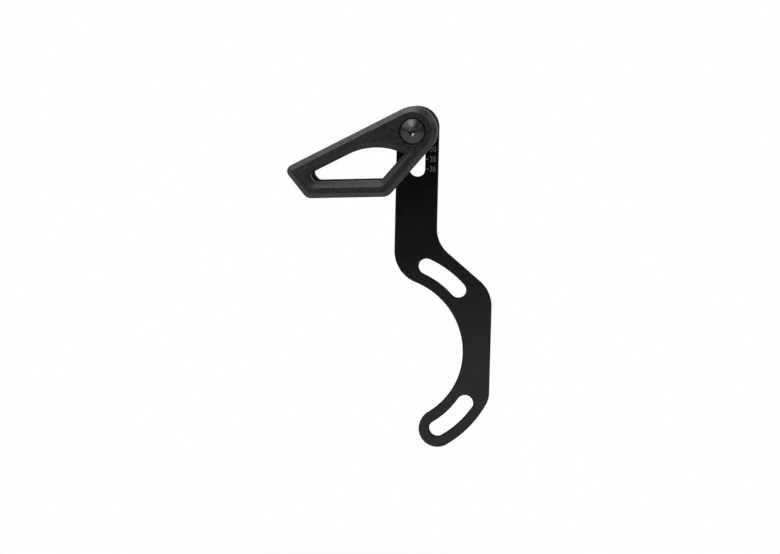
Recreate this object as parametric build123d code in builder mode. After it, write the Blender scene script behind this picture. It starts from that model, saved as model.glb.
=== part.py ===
# Bicycle chain guide: a flat backplate for two mounting tabs round the bottom bracket, and a moulded
# two-sided cage on one clamp bolt that is set along the scale slot to suit the chainring.
# Millimetres. The origin is the bottom bracket axis on the mounting face, which lies in XZ.
# +X points to the front of the bicycle, +Z up and -Y outboard, so depths below are distances outboard.

import os
from math import acos, asin, atan2, cos, degrees, hypot, pi, radians, sin, sqrt, tan

from build123d import *

# Mounting slots, on the tab standard's bolt circle
tab_circle = 73.0
tab_spacing_angle = 100.0
upper_slot_angle = 55.0
slot_swing_angle = 24.0
mount_slot_width = 6.5

# Backplate
plate_thickness = 3.0
band_width = 14.6
strap_width = 16.3
strap_x = 9.68
front_flat_depth = 3.87
slant_angle = 50.4
slant_distance = 44.3
neck_radius = 12.5
shoulder_radius = 13.0
hip_radius = 13.1
corner_radius = 8.4
plate_edge_break = 0.25

# Scale slot, one step for every two chainring teeth
chain_pitch = 12.7
teeth_per_step = 2
scale_steps = 4
bolt_z = 87.86
scale_slot_width = 6.2

# Cage outline: a hull round the bolt boss and three corner rounds, placed from the bolt
boss_radius = 9.2
tip_x = -45.03
tip_z = -16.46
tip_radius = 2.5
heel_x = -38.36
heel_z = -23.26
heel_radius = 3.3
toe_x = -10.99
toe_z = -20.87
toe_radius = 4.3
rail_width = 6.1
pad_radius = 24.0
window_corner_radius = 1.6
corner_share = 0.9

# Cage depth
outer_thickness = 5.0
inner_thickness = 3.0
chain_gap = 10.0
outer_bevel = 1.9
window_bevel = 2.1
chain_lead_in = 0.6
inner_inset = 0.55
inner_window_gain = 0.45
inner_edge_bevel = 0.8
pillar_radius = 8.0

# Pegs that hold the two sides of the cage in line
peg_count = 2
peg_diameter = 1.8
peg_length = 1.5
peg_circle = 12.8
peg_clearance = 0.05
peg_end_gap = 0.2

# Clamp bolt, spacers and slot nut
bolt_diameter = 5.0
bolt_end_gap = 0.5
bolt_end_break = 0.6
head_diameter = 9.3
head_height = 2.75
head_rim = 1.5
head_dome_radius = 12.0
head_socket_width = 3.0
head_socket_depth = 1.2
head_socket_mouth = 3.6
socket_point_angle = 118.0
head_clearance = 0.4
head_proud = 1.0
recess_edge_break = 0.12
running_clearance = 0.05
thread_clearance = 0.03
spacer_count = 2
spacer_thickness = 2.5
spacer_diameter = 15.0
spacer_clearance = 0.15
spacer_edge_break = 0.3
nut_width = 10.0
nut_thickness = 2.5
nut_edge_break = 0.4
thread_mouth_break = 0.35
barrel_clearance = 0.1
barrel_end_gap = 0.4

# Places worked out from the sizes above
scale_step = chain_pitch * teeth_per_step / (2 * pi)
scale_travel = scale_step * scale_steps
slot_radius = tab_circle / 2
band_inside = slot_radius - band_width / 2
band_outside = slot_radius + band_width / 2
lower_slot_angle = upper_slot_angle - tab_spacing_angle
foot_angle = lower_slot_angle - slot_swing_angle / 2
strap_left = strap_x - strap_width / 2
strap_right = strap_x + strap_width / 2
front_edge_x = band_outside - front_flat_depth

inner_rear = plate_thickness + spacer_count * spacer_thickness
inner_front = inner_rear + inner_thickness
outer_rear = inner_front + chain_gap
outer_front = outer_rear + outer_thickness
head_seat = outer_front + head_proud - head_height
bolt_end = nut_thickness - bolt_end_gap
recess_radius = head_diameter / 2 + head_clearance
cage_bore_radius = bolt_diameter / 2 + running_clearance
peg_radius = peg_circle / 2
head_top = head_seat + head_height
socket_floor = head_top - head_socket_depth
socket_point = socket_floor - head_socket_width / 2 / tan(radians(socket_point_angle / 2))
socket_mouth_depth = (head_socket_mouth - head_socket_width) / 2

cage_rounds = (
    (0, 0, boss_radius),
    (tip_x, tip_z, tip_radius),
    (heel_x, heel_z, heel_radius),
    (toe_x, toe_z, toe_radius),
)

bolt_axis = Axis((strap_x, 0, bolt_z), (0, 1, 0))
turning_plane = Plane(origin=(strap_x, 0, bolt_z), x_dir=(1, 0, 0), z_dir=(0, 0, 1))


def facing(depth):
    # A plane across the bolt axis, at a depth outboard of the mounting face
    return Plane(origin=(strap_x, -depth, bolt_z), x_dir=(1, 0, 0), z_dir=(0, -1, 0))


def slant_z(x):
    # Height of the slanted shoulder edge, which stands square to slant_angle
    return (slant_distance - x * cos(radians(slant_angle))) / sin(radians(slant_angle))


def on_circle(radius, angle):
    return (radius * cos(radians(angle)), radius * sin(radians(angle)))


def plate_outline():
    neck = (strap_right, slant_z(strap_right))
    shoulder = (front_edge_x, slant_z(front_edge_x))
    corner = (front_edge_x, -sqrt(band_outside**2 - front_edge_x**2))
    hip = (strap_left, sqrt(band_inside**2 - strap_left**2))
    corner_angle = degrees(atan2(corner[1], corner[0]))
    hip_angle = degrees(atan2(hip[1], hip[0]))
    with BuildSketch(Plane.XZ) as outline:
        with BuildLine():
            CenterArc((strap_x, bolt_z), strap_width / 2, 0, 180)
            Line((strap_right, bolt_z), neck)
            Line(neck, shoulder)
            Line(shoulder, corner)
            CenterArc((0, 0), band_outside, corner_angle, foot_angle - corner_angle)
            CenterArc(on_circle(slot_radius, foot_angle), band_width / 2, foot_angle, -180)
            CenterArc((0, 0), band_inside, foot_angle, hip_angle - foot_angle)
            Line(hip, (strap_left, bolt_z))
        make_face()
        rounds = ((neck, neck_radius), (shoulder, shoulder_radius), (corner, corner_radius), (hip, hip_radius))
        for place, radius in rounds:
            fillet(outline.vertices().sort_by_distance(place)[0], radius)
    return outline.sketch


def guide_outline(plane, inset):
    with BuildSketch(plane) as outline:
        for x, z, radius in cage_rounds:
            with Locations((x, z)):
                Circle(radius - inset)
        make_hull()
    return outline.sketch


def window_side(first, second, gain):
    # The tangent to two rounds of the outline, moved in by the rail: its outward angle and its distance
    x, z, radius = first
    across, up = second[0] - x, second[1] - z
    angle = atan2(up, across) - pi / 2 + asin((radius - second[2]) / hypot(across, up))
    return angle, x * cos(angle) + z * sin(angle) + radius - rail_width + gain


def crossing(first, second):
    (angle_1, distance_1), (angle_2, distance_2) = first, second
    spread = sin(angle_2 - angle_1)
    x = (distance_1 * sin(angle_2) - distance_2 * sin(angle_1)) / spread
    z = (distance_2 * cos(angle_1) - distance_1 * cos(angle_2)) / spread
    return (x, z)


def corner_reach(first, second):
    # How much of a side the round at its corner takes, for each millimetre of radius
    return tan(((second[0] - first[0]) % (2 * pi)) / 2)


def guide_window(plane, gain):
    # Four sides along the rails, and above them a wide round that touches the upper rail and the boss
    boss, tip, heel, toe = cage_rounds
    upper = window_side(boss, tip, gain)
    end = window_side(tip, heel, gain)
    lower = window_side(heel, toe, gain)
    leg = window_side(toe, boss, gain)
    tip_corner = crossing(upper, end)
    heel_corner = crossing(end, lower)
    toe_corner = crossing(lower, leg)
    end_length = hypot(tip_corner[0] - heel_corner[0], tip_corner[1] - heel_corner[1])
    end_limit = corner_share * end_length / (corner_reach(upper, end) + corner_reach(end, lower))

    pad_size = pad_radius + gain
    upper_angle, upper_distance = upper
    leg_angle, leg_distance = leg
    pad_depth = upper_distance - pad_size
    pad_along = sqrt((pad_radius + boss_radius) ** 2 - pad_depth**2)
    pad_x = pad_depth * cos(upper_angle) - pad_along * sin(upper_angle)
    pad_z = pad_depth * sin(upper_angle) + pad_along * cos(upper_angle)
    leg_offset = leg_distance - pad_x * cos(leg_angle) - pad_z * sin(leg_angle)
    foot_turn = leg_angle + acos(leg_offset / pad_size)
    pad_swing = (upper_angle - foot_turn) % (2 * pi)

    with BuildSketch(plane) as window:
        with BuildLine():
            pad = CenterArc((pad_x, pad_z), pad_size, degrees(foot_turn), degrees(pad_swing))
            FilletPolyline(
                pad @ 1,
                tip_corner,
                heel_corner,
                toe_corner,
                pad @ 0,
                radius=min(window_corner_radius + gain, end_limit),
            )
        make_face()
    return window.sketch


def front_face(builder):
    return builder.faces().sort_by(Axis.Y)[0]


def rear_face(builder):
    return builder.faces().sort_by(Axis.Y)[-1]


def peg_places():
    return PolarLocations(peg_radius, peg_count)


# Backplate
slot_midlines = []
for angle in (upper_slot_angle, lower_slot_angle):
    slot_start = angle - slot_swing_angle / 2
    slot_midlines.append(CenterArc((0, 0), slot_radius, slot_start, slot_swing_angle))

with BuildPart() as backplate:
    extrude(plate_outline(), amount=plate_thickness)
    with BuildSketch(Plane.XZ):
        for midline in slot_midlines:
            SlotArc(midline, mount_slot_width)
        with Locations((strap_x, bolt_z - scale_travel / 2)):
            SlotCenterToCenter(scale_travel, scale_slot_width, rotation=90)
    extrude(amount=plate_thickness, mode=Mode.SUBTRACT)
    chamfer(front_face(backplate).edges() + rear_face(backplate).edges(), plate_edge_break)

# Outer side of the cage, bevelled all round and round its window
with BuildPart() as outer_guide:
    extrude(guide_outline(facing(outer_rear), 0), amount=outer_thickness)
    extrude(guide_window(facing(outer_rear), 0), amount=outer_thickness, mode=Mode.SUBTRACT)
    chamfer(front_face(outer_guide).outer_wire().edges(), outer_bevel)
    chamfer(front_face(outer_guide).inner_wires()[0].edges(), window_bevel)
    chamfer(rear_face(outer_guide).outer_wire().edges(), chain_lead_in)
    with Locations(facing(outer_front)):
        CounterBoreHole(cage_bore_radius, recess_radius, outer_front - head_seat)
    recess_rim = front_face(outer_guide).inner_wires().sort_by_distance(facing(outer_front).origin)[0]
    chamfer(recess_rim.edges(), recess_edge_break)
    with BuildSketch(facing(outer_rear)):
        with peg_places():
            Circle(peg_diameter / 2 + peg_clearance)
    extrude(amount=peg_length + peg_end_gap, mode=Mode.SUBTRACT)

# Inner side of the cage, with the pillar that keeps the two sides apart
with BuildPart() as inner_guide:
    extrude(guide_outline(facing(inner_rear), inner_inset), amount=inner_thickness)
    extrude(guide_window(facing(inner_rear), inner_window_gain), amount=inner_thickness, mode=Mode.SUBTRACT)
    chamfer(front_face(inner_guide).outer_wire().edges(), chain_lead_in)
    chamfer(rear_face(inner_guide).outer_wire().edges(), inner_edge_bevel)
    with BuildSketch(facing(inner_front)):
        Circle(pillar_radius)
    extrude(amount=chain_gap)
    with BuildSketch(facing(outer_rear)):
        with peg_places():
            Circle(peg_diameter / 2)
    extrude(amount=peg_length)
    with BuildSketch(facing(inner_rear)):
        Circle(cage_bore_radius)
    extrude(amount=outer_rear - inner_rear, mode=Mode.SUBTRACT)

# Clamp bolt with a domed head and a hexagon socket, drilled to a point
with BuildPart() as clamp_bolt:
    with BuildSketch(turning_plane):
        with BuildLine():
            profile = Polyline(
                (head_diameter / 2, -head_seat - head_rim),
                (head_diameter / 2, -head_seat),
                (bolt_diameter / 2, -head_seat),
                (bolt_diameter / 2, bolt_end - bolt_end_break),
                (bolt_diameter / 2 - bolt_end_break, bolt_end),
                (0, bolt_end),
                (0, -socket_point),
                (head_socket_width / 2, -socket_floor),
                (head_socket_width / 2, socket_mouth_depth - head_top),
                (head_socket_mouth / 2, -head_top),
            )
            RadiusArc(profile @ 0, profile @ 1, head_dome_radius)
        make_face()
    revolve(axis=bolt_axis)
    with BuildSketch(facing(head_top)):
        RegularPolygon(head_socket_width / 2, 6, major_radius=False)
    extrude(amount=-head_socket_depth, mode=Mode.SUBTRACT)

# Slot nut: a hexagon behind the plate and a barrel that runs in the scale slot
with BuildPart() as slot_nut:
    with BuildSketch(facing(-nut_thickness)):
        RegularPolygon(nut_width / 2, 6, major_radius=False)
    extrude(amount=nut_thickness)
    chamfer(rear_face(slot_nut).edges(), nut_edge_break)
    with BuildSketch(facing(0)):
        Circle(scale_slot_width / 2 - barrel_clearance)
    extrude(amount=plate_thickness - barrel_end_gap)
    with BuildSketch(facing(-nut_thickness)):
        Circle(bolt_diameter / 2 + thread_clearance)
    extrude(amount=nut_thickness + plate_thickness, mode=Mode.SUBTRACT)
    chamfer(rear_face(slot_nut).inner_wires()[0].edges(), thread_mouth_break)

pieces = {
    "backplate": backplate,
    "outer_guide": outer_guide,
    "inner_guide": inner_guide,
    "clamp_bolt": clamp_bolt,
    "slot_nut": slot_nut,
}

# Spacers that set the cage over the chain line
for number in range(spacer_count):
    with BuildPart() as spacer:
        with BuildSketch(facing(plate_thickness + number * spacer_thickness)):
            Circle(spacer_diameter / 2)
            Circle(bolt_diameter / 2 + spacer_clearance, mode=Mode.SUBTRACT)
        extrude(amount=spacer_thickness)
        rims = front_face(spacer).outer_wire().edges() + rear_face(spacer).outer_wire().edges()
        chamfer(rims, spacer_edge_break)
    pieces[f"spacer_{number + 1}"] = spacer

os.makedirs("parts", exist_ok=True)
for name, piece in pieces.items():
    piece.part.label = name
    export_step(piece.part, f"parts/{name}.step")
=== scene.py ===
# Bicycle chain guide: finishes, scale marks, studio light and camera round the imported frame
import math

import bmesh
import bpy
from mathutils import Matrix, Vector


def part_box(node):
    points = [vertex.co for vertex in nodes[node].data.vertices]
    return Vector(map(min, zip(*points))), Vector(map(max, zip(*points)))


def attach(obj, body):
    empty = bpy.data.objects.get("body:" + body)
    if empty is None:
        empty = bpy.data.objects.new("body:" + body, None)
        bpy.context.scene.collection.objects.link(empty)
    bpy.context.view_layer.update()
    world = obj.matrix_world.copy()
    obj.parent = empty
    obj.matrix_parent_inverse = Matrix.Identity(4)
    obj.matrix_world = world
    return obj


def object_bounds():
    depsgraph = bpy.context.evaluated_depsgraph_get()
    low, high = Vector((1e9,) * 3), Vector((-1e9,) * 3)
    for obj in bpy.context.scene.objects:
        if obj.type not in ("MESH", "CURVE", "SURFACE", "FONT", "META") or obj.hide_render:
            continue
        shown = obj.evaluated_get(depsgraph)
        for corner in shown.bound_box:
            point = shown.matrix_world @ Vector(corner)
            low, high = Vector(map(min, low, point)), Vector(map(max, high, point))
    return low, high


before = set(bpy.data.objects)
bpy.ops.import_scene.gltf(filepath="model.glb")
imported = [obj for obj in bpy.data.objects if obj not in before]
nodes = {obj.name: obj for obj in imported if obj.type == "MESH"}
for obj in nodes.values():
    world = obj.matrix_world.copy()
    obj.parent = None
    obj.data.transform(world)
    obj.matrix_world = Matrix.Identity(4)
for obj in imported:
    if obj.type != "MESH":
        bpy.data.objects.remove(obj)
cadLow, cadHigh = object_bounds()  # the CAD box, before anything is added
scene = bpy.context.scene
scene.view_settings.view_transform = "Standard"
print("frame loaded:", ", ".join(sorted(nodes)))

boltLow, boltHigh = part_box("clamp_bolt")
boltCentre = (Vector(boltLow) + Vector(boltHigh)) / 2  # the bolt lies along Y
plateLow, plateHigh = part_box("backplate")

# Lengths are in millimetres in the looks and the scale, in metres in the studio and the camera's place
noiseSpan = (0.3, 0.7)  # most of a noise pattern's values lie in this range
noiseDetail = {"grain": 3.0, "cloud": 2.0, "pebble": 4.0, "flow": 3.0, "speckle": 2.0}
metalEdgeSamples = 6
nylonEdgeSamples = 8
acrossBolt = (1.0, 0.0, 1.0)
alongTable = (1.0, 1.0, 0.0)
plainWhite = (1.0, 1.0, 1.0, 1.0)


def hexLinear(text):
    # sRGB hex to linear RGBA
    parts = [int(text[i:i + 2], 16) / 255 for i in (1, 3, 5)]
    return [p / 12.92 if p <= 0.04045 else ((p + 0.055) / 1.055) ** 2.4 for p in parts] + [1.0]


def metres(millimetres):
    return millimetres / 1000


def perMetre(millimetres):
    # texture scale for a pattern whose features are this far apart
    return 1000.0 / millimetres


def addNode(tree, kind, inputs=None, **settings):
    # a node with its settings; a socket in inputs is linked, anything else is the socket's own value
    node = tree.nodes.new(kind)
    for name, value in settings.items():
        setattr(node, name, value)
    for socket, value in (inputs or {}).items():
        if isinstance(value, bpy.types.NodeSocket):
            tree.links.new(value, node.inputs[socket])
        else:
            node.inputs[socket].default_value = value
    return node


def calculate(tree, operation, *values):
    return addNode(tree, "ShaderNodeMath", dict(enumerate(values)), operation=operation).outputs["Value"]


def remap(tree, value, fromSpan, toSpan=(0.0, 1.0), interpolation="LINEAR"):
    # value carried from one range to another and held at its ends
    node = addNode(tree, "ShaderNodeMapRange", {
        "Value": value,
        "From Min": fromSpan[0],
        "From Max": fromSpan[1],
        "To Min": toSpan[0],
        "To Max": toSpan[1],
    }, interpolation_type=interpolation)
    return node.outputs["Result"]


def blendValues(tree, factor, first, second):
    return addNode(tree, "ShaderNodeMix", {"Factor": factor, "A": first, "B": second}).outputs["Result"]


def blendColours(tree, factor, first, second):
    inputs = {"Factor": factor, "A": first, "B": second}
    return addNode(tree, "ShaderNodeMix", inputs, data_type="RGBA").outputs["Result"]


def noise(tree, place, look, pattern):
    # one of a finish's patterns, whose spacing in millimetres the look gives
    node = addNode(tree, "ShaderNodeTexNoise", {
        "Vector": place,
        "Scale": perMetre(look[pattern]),
        "Detail": noiseDetail[pattern],
    })
    return node.outputs["Fac"]


def flatten(tree, vector, keep):
    # a vector with only some of its axes kept, and its length
    flat = addNode(tree, "ShaderNodeVectorMath", {0: vector, 1: keep}, operation="MULTIPLY")
    length = addNode(tree, "ShaderNodeVectorMath", {0: flat.outputs["Vector"]}, operation="LENGTH")
    return flat.outputs["Vector"], length.outputs["Value"]


def fromBolt(tree, place):
    # the vector out from the bolt's axis, and its length
    centred = addNode(tree, "ShaderNodeMapping", {"Vector": place, "Location": tuple(-boltCentre)})
    return flatten(tree, centred.outputs["Vector"], acrossBolt)


def roundEdges(tree, radius, samples):
    # a normal that turns over edges as if they had this radius in millimetres
    return addNode(tree, "ShaderNodeBevel", {"Radius": metres(radius)}, samples=samples).outputs["Normal"]


def startMaterial(name):
    material = bpy.data.materials.new(name)
    material.use_nodes = True
    material.node_tree.nodes.clear()
    return material, material.node_tree


def closeMaterial(tree, inputs):
    shader = addNode(tree, "ShaderNodeBsdfPrincipled", inputs)
    addNode(tree, "ShaderNodeOutputMaterial", {"Surface": shader.outputs["BSDF"]})


def coat(node, material):
    # gives a CAD node its finish
    mesh = nodes[node].data
    mesh.materials.clear()
    mesh.materials.append(material)


# Bead-blasted aluminium, anodised black: close to black from the front, a satin sheen where it mirrors
# the table, and a fine even grain. The blasting is about 0.1 mm; it is drawn at 0.45 mm so that it shows.
# The walls, between the two faces, are as cut: coarser. Their colour is painted near black, as painted shade.
anodisedPlate = {
    "deep": "#070708",
    "light": "#0c0c0d",
    "grain": 0.45,
    "cloud": 9.0,
    "roughness": (0.18, 0.23),
    "ior": 1.4,
    "grainDepth": 0.12,
    "grainHeight": 0.03,
    "edgeRound": 0.12,
    "wallPaintedShade": "#030303",
    "wallRoughness": 0.9,
    "wallRim": 0.03,
}
# Turned aluminium washers, anodised black like the plate, but a little greyer and duller
anodisedSpacer = {
    "deep": "#0d0d0e",
    "light": "#161617",
    "grain": 0.45,
    "cloud": 5.0,
    "roughness": (0.26, 0.36),
    "ior": 1.42,
    "grainDepth": 0.2,
    "grainHeight": 0.03,
    "edgeRound": 0.12,
}


def makeAnodised(name, look):
    material, tree = startMaterial(name)
    place = addNode(tree, "ShaderNodeTexCoord").outputs["Object"]
    grain = noise(tree, place, look, "grain")
    cloud = noise(tree, place, look, "cloud")
    colour = blendColours(tree, grain, hexLinear(look["deep"]), hexLinear(look["light"]))
    rough = remap(tree, cloud, noiseSpan, look["roughness"])
    if "wallRoughness" in look:
        depth = addNode(tree, "ShaderNodeSeparateXYZ", {"Vector": place}).outputs["Y"]
        middle = (plateLow[1] + plateHigh[1]) / 2
        reach = (plateHigh[1] - plateLow[1]) / 2 - metres(look["wallRim"])
        # painted shade: the walls' colour is darkened to near black; their roughness is raised as well
        wall = calculate(tree, "COMPARE", depth, middle, reach)
        colour = blendColours(tree, wall, colour, hexLinear(look["wallPaintedShade"]))
        rough = blendValues(tree, wall, rough, look["wallRoughness"])
    bump = addNode(tree, "ShaderNodeBump", {
        "Strength": look["grainDepth"],
        "Distance": metres(look["grainHeight"]),
        "Height": grain,
        "Normal": roundEdges(tree, look["edgeRound"], metalEdgeSamples),
    })
    closeMaterial(tree, {
        "Base Color": colour,
        "Roughness": rough,
        "Normal": bump.outputs["Normal"],
        "IOR": look["ior"],
    })
    return material


# Glass-filled nylon, injection moulded in a spark-eroded tool: charcoal, dull, with a fine pebbled grain
# that shows as faint speckle. The pebbling is about 0.2 mm and is drawn at 0.6 mm. Near the boss it is
# darker and shinier, and towards the tip lighter and duller.
mouldedNylon = {
    "deep": "#0a0a0b",
    "light": "#2c2c2e",
    "pebble": 0.6,
    "flow": 14.0,
    "tipReach": (8.0, 50.0),
    "tipLightening": 0.3,
    "roughness": (0.43, 0.57),
    "ior": 1.44,
    "edgeRound": 0.3,
}
# The inner half's colour is painted darker than the outer's, as painted shade for where it lies behind the
# outer half; it is duller, doesn't lighten towards the tip, and its pebbling is drawn at 0.8 mm
mouldedNylonInnerShaded = {
    "deep": "#0f0f10",
    "light": "#181819",
    "pebble": 0.8,
    "flow": 14.0,
    "tipReach": (8.0, 50.0),
    "tipLightening": 0.0,
    "roughness": (0.6, 0.7),
    "ior": 1.2,
    "edgeRound": 0.3,
}
# How the patterns are combined, on both halves
nylonGrain = {
    "flowShare": 0.2,
    "mottleSpan": (0.42, 0.58),
    "flowInRoughness": 0.4,
    "roughnessSpan": (0.2, 1.2),
    "pebbleDepth": 0.3,
    "pebbleHeight": 0.06,
}


def makeNylon(name, look):
    material, tree = startMaterial(name)
    place = addNode(tree, "ShaderNodeTexCoord").outputs["Object"]
    pebble = noise(tree, place, look, "pebble")
    flow = noise(tree, place, look, "flow")
    fromBoss = fromBolt(tree, place)[1]
    bossEnd, tip = look["tipReach"]
    # darker and shinier near the boss, lighter and duller towards the tip, by distance from the bolt's axis
    towardsTip = remap(tree, fromBoss, (metres(bossEnd), metres(tip)))
    mottle = blendValues(tree, nylonGrain["flowShare"], pebble, flow)
    fade = look["tipLightening"]
    spread = remap(tree, mottle, nylonGrain["mottleSpan"], (-fade / 2, 1.0 - fade / 2))
    graded = calculate(tree, "MULTIPLY_ADD", towardsTip, fade, spread)
    colour = blendColours(tree, graded, hexLinear(look["deep"]), hexLinear(look["light"]))
    uneven = calculate(tree, "MULTIPLY_ADD", flow, nylonGrain["flowInRoughness"], towardsTip)
    rough = remap(tree, uneven, nylonGrain["roughnessSpan"], look["roughness"])
    bump = addNode(tree, "ShaderNodeBump", {
        "Strength": nylonGrain["pebbleDepth"],
        "Distance": metres(nylonGrain["pebbleHeight"]),
        "Height": pebble,
        "Normal": roundEdges(tree, look["edgeRound"], nylonEdgeSamples),
    })
    closeMaterial(tree, {
        "Base Color": colour,
        "Roughness": rough,
        "Normal": bump.outputs["Normal"],
        "IOR": look["ior"],
    })
    return material


# Steel with a black oxide, the head turned to a slight crown: dark grey, and the rings left by the tool
# draw the light out into a wedge from rim to socket. In the socket the key has worn the oxide to warm grey.
oxideBolt = {
    "deep": "#171718",
    "light": "#202021",
    "grain": 0.6,
    "roughness": (0.4, 0.45),
    "ior": 1.65,
    "anisotropy": 0.7,
    "crown": 0.2,
    "wornColour": "#5f5d5a",
    "wornRoughness": 0.2,
    "wornRadius": 1.75,
    "wornEdge": 0.15,
    "wornBack": -20.0,
    "edgeRound": 0.15,
}
# Black oxide on a cold-formed nut, greyer than the bolt's and worn a little in its bore
oxideNut = {
    "deep": "#2a2a2b",
    "light": "#3a3a3b",
    "grain": 0.8,
    "roughness": (0.36, 0.5),
    "ior": 1.8,
    "anisotropy": 0.0,
    "crown": 0.0,
    "wornColour": "#5c5955",
    "wornRoughness": 0.35,
    "wornRadius": 2.6,
    "wornEdge": 0.4,
    "wornBack": 20.0,
    "edgeRound": 0.2,
}


def makeBlackOxide(name, look):
    material, tree = startMaterial(name)
    place = addNode(tree, "ShaderNodeTexCoord").outputs["Object"]
    across, radius = fromBolt(tree, place)
    grain = noise(tree, place, look, "grain")
    oxide = blendColours(tree, grain, hexLinear(look["deep"]), hexLinear(look["light"]))
    wornRadius = metres(look["wornRadius"])
    wornStart = metres(look["wornRadius"] - look["wornEdge"])
    bore = remap(tree, radius, (wornStart, wornRadius), (1.0, 0.0))
    depth = addNode(tree, "ShaderNodeSeparateXYZ", {"Vector": place}).outputs["Y"]
    front = calculate(tree, "LESS_THAN", depth, metres(look["wornBack"]))
    worn = calculate(tree, "MULTIPLY", bore, front)
    rough = remap(tree, grain, noiseSpan, look["roughness"])
    outside = calculate(tree, "MAXIMUM", radius, wornRadius)
    crown = addNode(tree, "ShaderNodeBump", {
        "Strength": 1.0,
        "Distance": 1.0,  # the height is in metres already
        "Height": calculate(tree, "MULTIPLY", outside, -look["crown"]),
        "Normal": roundEdges(tree, look["edgeRound"], metalEdgeSamples),
    })
    inputs = {
        "Base Color": blendColours(tree, worn, oxide, hexLinear(look["wornColour"])),
        "Roughness": blendValues(tree, worn, rough, look["wornRoughness"]),
        "Normal": crown.outputs["Normal"],
        "Metallic": worn,
        "IOR": look["ior"],
        "Anisotropic": look["anisotropy"],
    }
    if look["anisotropy"]:
        inputs["Tangent"] = across  # spreads the light from the rim inwards
    closeMaterial(tree, inputs)
    return material


plateFinish = makeAnodised("anodisedAluminiumBlack", anodisedPlate)
spacerFinish = makeAnodised("turnedAluminiumBlack", anodisedSpacer)
cageFinish = makeNylon("glassFilledNylonMoulded", mouldedNylon)
# painted shade: the inner half gets a darker nylon colour
innerShadedFinish = makeNylon("glassFilledNylonShadedInner", mouldedNylonInnerShaded)
boltFinish = makeBlackOxide("turnedSteelBlackOxide", oxideBolt)
nutFinish = makeBlackOxide("formedSteelBlackOxide", oxideNut)
coat("backplate", plateFinish)
coat("spacer_1", spacerFinish)
coat("spacer_2", spacerFinish)
coat("outer_guide", cageFinish)
coat("inner_guide", innerShadedFinish)
coat("clamp_bolt", boltFinish)
coat("slot_nut", nutFinish)
print("finishes on the CAD nodes")

# Scale beside the slot: a tick and a number for every second chainring tooth, the top one beside the bolt
scaleMarks = {
    "numbers": (26, 28, 30, 32, 34),
    "lowest": 71.96,
    "step": 3.83,
    "tickLeft": 13.1,
    "tickLength": 1.05,
    "tickWidth": 0.36,
    "tickDrop": 0.11,
    "numberLeft": 14.55,
    "numberWidth": 2.35,
    "numberHeight": 2.2,
    "proud": 0.015,
    "weld": 0.0001,
    "bright": "#96928c",
    "dull": "#77746f",
    "roughness": (0.6, 0.8),
    "speckle": 0.35,
}

# Anodising burnt off by a laser: bare aluminium oxide, warm grey and matt, finely broken up along the
# laser's tracks. The tracks are about 0.05 mm apart and are drawn at 0.35 mm.
markFinish, tree = startMaterial("laserMarkedAluminium")
place = addNode(tree, "ShaderNodeTexCoord").outputs["Object"]
speckle = noise(tree, place, scaleMarks, "speckle")
closeMaterial(tree, {
    "Base Color": blendColours(tree, speckle, hexLinear(scaleMarks["dull"]), hexLinear(scaleMarks["bright"])),
    "Roughness": remap(tree, speckle, (0.0, 1.0), scaleMarks["roughness"]),
})

plateFront = plateLow[1]
lowMark = metres(scaleMarks["lowest"])
markStep = metres(scaleMarks["step"])
markCount = len(scaleMarks["numbers"])
proud = metres(scaleMarks["proud"])

# Ticks, laid out by Geometry Nodes: a line of points up the plate, a thin bar on each
tickTree = bpy.data.node_groups.new("scaleTickRow", "GeometryNodeTree")
for socketName, socketType in (
    ("Count", "NodeSocketInt"),
    ("Start", "NodeSocketVector"),
    ("Step", "NodeSocketVector"),
    ("Bar Size", "NodeSocketVector"),
    ("Finish", "NodeSocketMaterial"),
):
    tickTree.interface.new_socket(socketName, in_out="INPUT", socket_type=socketType)
tickTree.interface.new_socket("Geometry", in_out="OUTPUT", socket_type="NodeSocketGeometry")
given = addNode(tickTree, "NodeGroupInput").outputs
row = addNode(tickTree, "GeometryNodeMeshLine", {
    "Count": given["Count"],
    "Start Location": given["Start"],
    "Offset": given["Step"],
}, mode="OFFSET")
bar = addNode(tickTree, "GeometryNodeMeshCube", {"Size": given["Bar Size"]})
placed = addNode(tickTree, "GeometryNodeInstanceOnPoints", {
    "Points": row.outputs["Mesh"],
    "Instance": bar.outputs["Mesh"],
})
real = addNode(tickTree, "GeometryNodeRealizeInstances", {"Geometry": placed.outputs["Instances"]})
finished = addNode(tickTree, "GeometryNodeSetMaterial", {
    "Geometry": real.outputs["Geometry"],
    "Material": given["Finish"],
})
addNode(tickTree, "NodeGroupOutput", {"Geometry": finished.outputs["Geometry"]})

tickSource = bpy.data.objects.new("scaleTickSource", bpy.data.meshes.new("scaleTickSource"))
scene.collection.objects.link(tickSource)
rowModifier = tickSource.modifiers.new("scaleTickRow", "NODES")
rowModifier.node_group = tickTree
sockets = {item.name: item.identifier for item in tickTree.interface.items_tree if item.in_out == "INPUT"}
tickMiddle = metres(scaleMarks["tickLeft"] + scaleMarks["tickLength"] / 2)
lowTick = lowMark - metres(scaleMarks["tickDrop"])
rowModifier[sockets["Count"]] = markCount
rowModifier[sockets["Start"]] = (tickMiddle, plateFront - proud / 2, lowTick)
rowModifier[sockets["Step"]] = (0.0, 0.0, markStep)
rowModifier[sockets["Bar Size"]] = (metres(scaleMarks["tickLength"]), proud, metres(scaleMarks["tickWidth"]))
rowModifier[sockets["Finish"]] = markFinish
evaluated = tickSource.evaluated_get(bpy.context.evaluated_depsgraph_get())
tickMesh = bpy.data.meshes.new_from_object(evaluated)
tickSource.modifiers.remove(rowModifier)
bpy.data.objects.remove(tickSource)
ticks = bpy.data.objects.new("scaleTicks", tickMesh)
scene.collection.objects.link(ticks)
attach(ticks, "plate")
print("scale ticks:", len(tickMesh.polygons), "faces")

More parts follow.
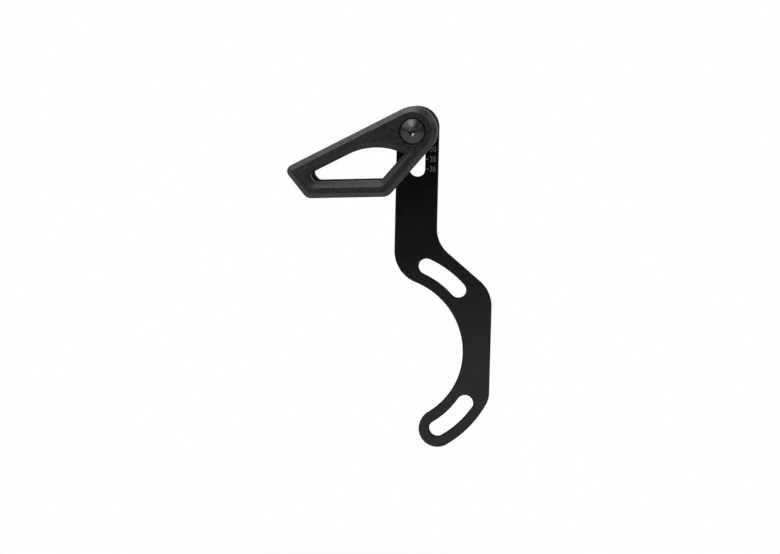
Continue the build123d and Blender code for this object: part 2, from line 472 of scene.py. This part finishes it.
# Numbers, set in the built-in type, each stretched to the size it has on the plate
numberMesh = bmesh.new()
numberSize = (metres(scaleMarks["numberWidth"]), metres(scaleMarks["numberHeight"]), proud)
for order, number in enumerate(scaleMarks["numbers"]):
    textData = bpy.data.curves.new("scaleNumber", "FONT")
    textData.body = str(number)
    textData.extrude = 0.5  # any depth does, as the size is set below
    text = bpy.data.objects.new("scaleNumber", textData)
    scene.collection.objects.link(text)
    flat = bpy.data.meshes.new_from_object(text.evaluated_get(bpy.context.evaluated_depsgraph_get()))
    corners = [vertex.co for vertex in flat.vertices]
    low = Vector(min(c[i] for c in corners) for i in range(3))
    high = Vector(max(c[i] for c in corners) for i in range(3))
    middle = lowMark + order * markStep
    start = (metres(scaleMarks["numberLeft"]), middle - numberSize[1] / 2, -plateFront)
    for vertex in flat.vertices:
        share = [(vertex.co[i] - low[i]) / (high[i] - low[i]) for i in range(3)]
        x, up, out = (start[i] + share[i] * numberSize[i] for i in range(3))
        vertex.co = (x, -out, up)
    numberMesh.from_mesh(flat)
    bpy.data.objects.remove(text)
    bpy.data.meshes.remove(flat)
bmesh.ops.remove_doubles(numberMesh, verts=numberMesh.verts, dist=metres(scaleMarks["weld"]))
bmesh.ops.recalc_face_normals(numberMesh, faces=numberMesh.faces)
digits = bpy.data.meshes.new("scaleNumbers")
numberMesh.to_mesh(digits)
numberMesh.free()
digits.materials.append(markFinish)
numbers = bpy.data.objects.new("scaleNumbers", digits)
scene.collection.objects.link(numbers)
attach(numbers, "plate")
print("scale numbers:", len(digits.polygons), "faces")

# Studio: a white table that ends in front, a dim room whose sides glow faintly, and a white sheet behind
# the part. The room and the sheet are only seen mirrored in the part. sideStart, sheetFront and sheetTop
# are spans of a direction's X, Y and Z.
studio = {
    "floorDrop": 0.12,
    "floorFront": 1.12,
    "floorBack": 4.0,
    "floorHalfWidth": 3.0,
    "floorColour": "#f4f4f3",
    "shadowReach": (0.12, 0.3),
    "whiteShare": 0.35,
    "roomGlow": 0.02,
    "sideGlow": 0.1,
    "sideStart": (0.2, 0.6),
    "sheetFront": (-0.1, 0.2),
    "sheetTop": (0.5, 0.3),
    "fill": 0.05,
}
# A wide soft box high up and a little left, a small one above the camera to its left, and weaker ones on
# the left and on the right
softBoxes = {
    "softBoxTop": {"place": (-0.2, -0.184, 1.028), "size": (0.92, 0.75), "radiance": 4.3},
    "softBoxFront": {"place": (-0.250, -0.571, 0.876), "size": (0.4, 0.4), "radiance": 5.1},
    "softBoxLeft": {"place": (-0.769, -0.266, 0.662), "size": (0.6, 0.6), "radiance": 2.1},
    "softBoxRight": {"place": (0.829, -0.013, 0.662), "size": (0.45, 0.45), "radiance": 2.8},
}

floorZ = cadLow.z - studio["floorDrop"]
floorMesh = bpy.data.meshes.new("tableTop")
halfWidth = studio["floorHalfWidth"]
floorMesh.from_pydata(
    [
        (-halfWidth, -studio["floorFront"], floorZ),
        (halfWidth, -studio["floorFront"], floorZ),
        (halfWidth, studio["floorBack"], floorZ),
        (-halfWidth, studio["floorBack"], floorZ),
    ],
    [],
    [(0, 1, 2, 3)],
)
floor = bpy.data.objects.new("tableTop", floorMesh)
scene.collection.objects.link(floor)


def mirroredRays(tree, ray):
    # 1 for what is seen mirrored in the part
    return calculate(tree, "MAXIMUM", ray["Is Glossy Ray"], ray["Is Transmission Ray"])


# White lacquered board: shows its light and shadow near the part, plain white to the eye further out and
# plain white all over where the part mirrors it
floorFinish, tree = startMaterial("lacquerWhite")
place = addNode(tree, "ShaderNodeTexCoord").outputs["Object"]
away = flatten(tree, place, alongTable)[1]
white = remap(tree, away, studio["shadowReach"], (studio["whiteShare"], 1.0), "SMOOTHSTEP")
ray = addNode(tree, "ShaderNodeLightPath").outputs
seen = calculate(tree, "MULTIPLY", ray["Is Camera Ray"], white)
share = calculate(tree, "MAXIMUM", seen, mirroredRays(tree, ray))
lit = addNode(tree, "ShaderNodeBsdfDiffuse", {"Color": hexLinear(studio["floorColour"])})
plain = addNode(tree, "ShaderNodeEmission", {"Color": plainWhite, "Strength": 1.0})
mix = addNode(tree, "ShaderNodeMixShader", {0: share, 1: lit.outputs["BSDF"], 2: plain.outputs["Emission"]})
addNode(tree, "ShaderNodeOutputMaterial", {"Surface": mix.outputs["Shader"]})
floorMesh.materials.append(floorFinish)

# Room: white to the eye, dim to the light that reaches the part, and mirrored as described above
world = bpy.data.worlds.new("studioRoom")
scene.world = world
world.use_nodes = True
tree = world.node_tree
tree.nodes.clear()
way = addNode(tree, "ShaderNodeTexCoord").outputs["Generated"]
axes = addNode(tree, "ShaderNodeSeparateXYZ", {"Vector": way}).outputs
behind = remap(tree, axes["Y"], studio["sheetFront"], interpolation="SMOOTHSTEP")
below = remap(tree, axes["Z"], studio["sheetTop"], interpolation="SMOOTHSTEP")
sheet = calculate(tree, "MULTIPLY", behind, below)
ray = addNode(tree, "ShaderNodeLightPath").outputs
mirrored = mirroredRays(tree, ray)
aside = calculate(tree, "ABSOLUTE", axes["X"])
glow = remap(tree, aside, studio["sideStart"], (studio["roomGlow"], studio["sideGlow"]), "SMOOTHSTEP")
dim = blendValues(tree, mirrored, studio["fill"], glow)
backdrop = calculate(tree, "MULTIPLY", mirrored, sheet)
bright = calculate(tree, "MAXIMUM", ray["Is Camera Ray"], backdrop)
strength = blendValues(tree, bright, dim, 1.0)
sky = addNode(tree, "ShaderNodeBackground", {"Color": plainWhite, "Strength": strength})
addNode(tree, "ShaderNodeOutputWorld", {"Surface": sky.outputs["Background"]})

# Each soft box is an area lamp that faces the bolt
for name, box in softBoxes.items():
    data = bpy.data.lights.new(name, "AREA")
    data.shape = "RECTANGLE"
    data.size, data.size_y = box["size"]
    data.energy = box["radiance"] * math.pi * data.size * data.size_y
    lamp = bpy.data.objects.new(name, data)
    lamp.location = box["place"]
    lamp.rotation_euler = (boltCentre - Vector(box["place"])).to_track_quat("-Z", "Y").to_euler()
    scene.collection.objects.link(lamp)
print("studio set")

# Camera at the photograph's angle; the picture is 780 x 554
view = {
    "place": (0.07927, -0.77499, 0.14161),
    "roll": 2.052,
    "pitch": -8.077,
    "yaw": 6.09,
    "focalPixels": 2007.5,
    "pictureWidth": 780,
    "sensorWidth": 36.0,
    "clipStart": 0.01,
}
cameraData = bpy.data.cameras.new("camera")
cameraData.sensor_width = view["sensorWidth"]
cameraData.lens = cameraData.sensor_width * view["focalPixels"] / view["pictureWidth"]
cameraData.clip_start = view["clipStart"]
camera = bpy.data.objects.new("camera", cameraData)
turn = (
    Matrix.Rotation(math.radians(90), 3, "X")
    @ Matrix.Rotation(math.radians(view["roll"]), 3, "Z")
    @ Matrix.Rotation(math.radians(view["pitch"]), 3, "X")
    @ Matrix.Rotation(math.radians(view["yaw"]), 3, "Y")
)
camera.matrix_world = Matrix.Translation(Vector(view["place"])) @ turn.to_4x4()
scene.collection.objects.link(camera)
scene.camera = camera
print("camera set, lens", round(cameraData.lens, 2))
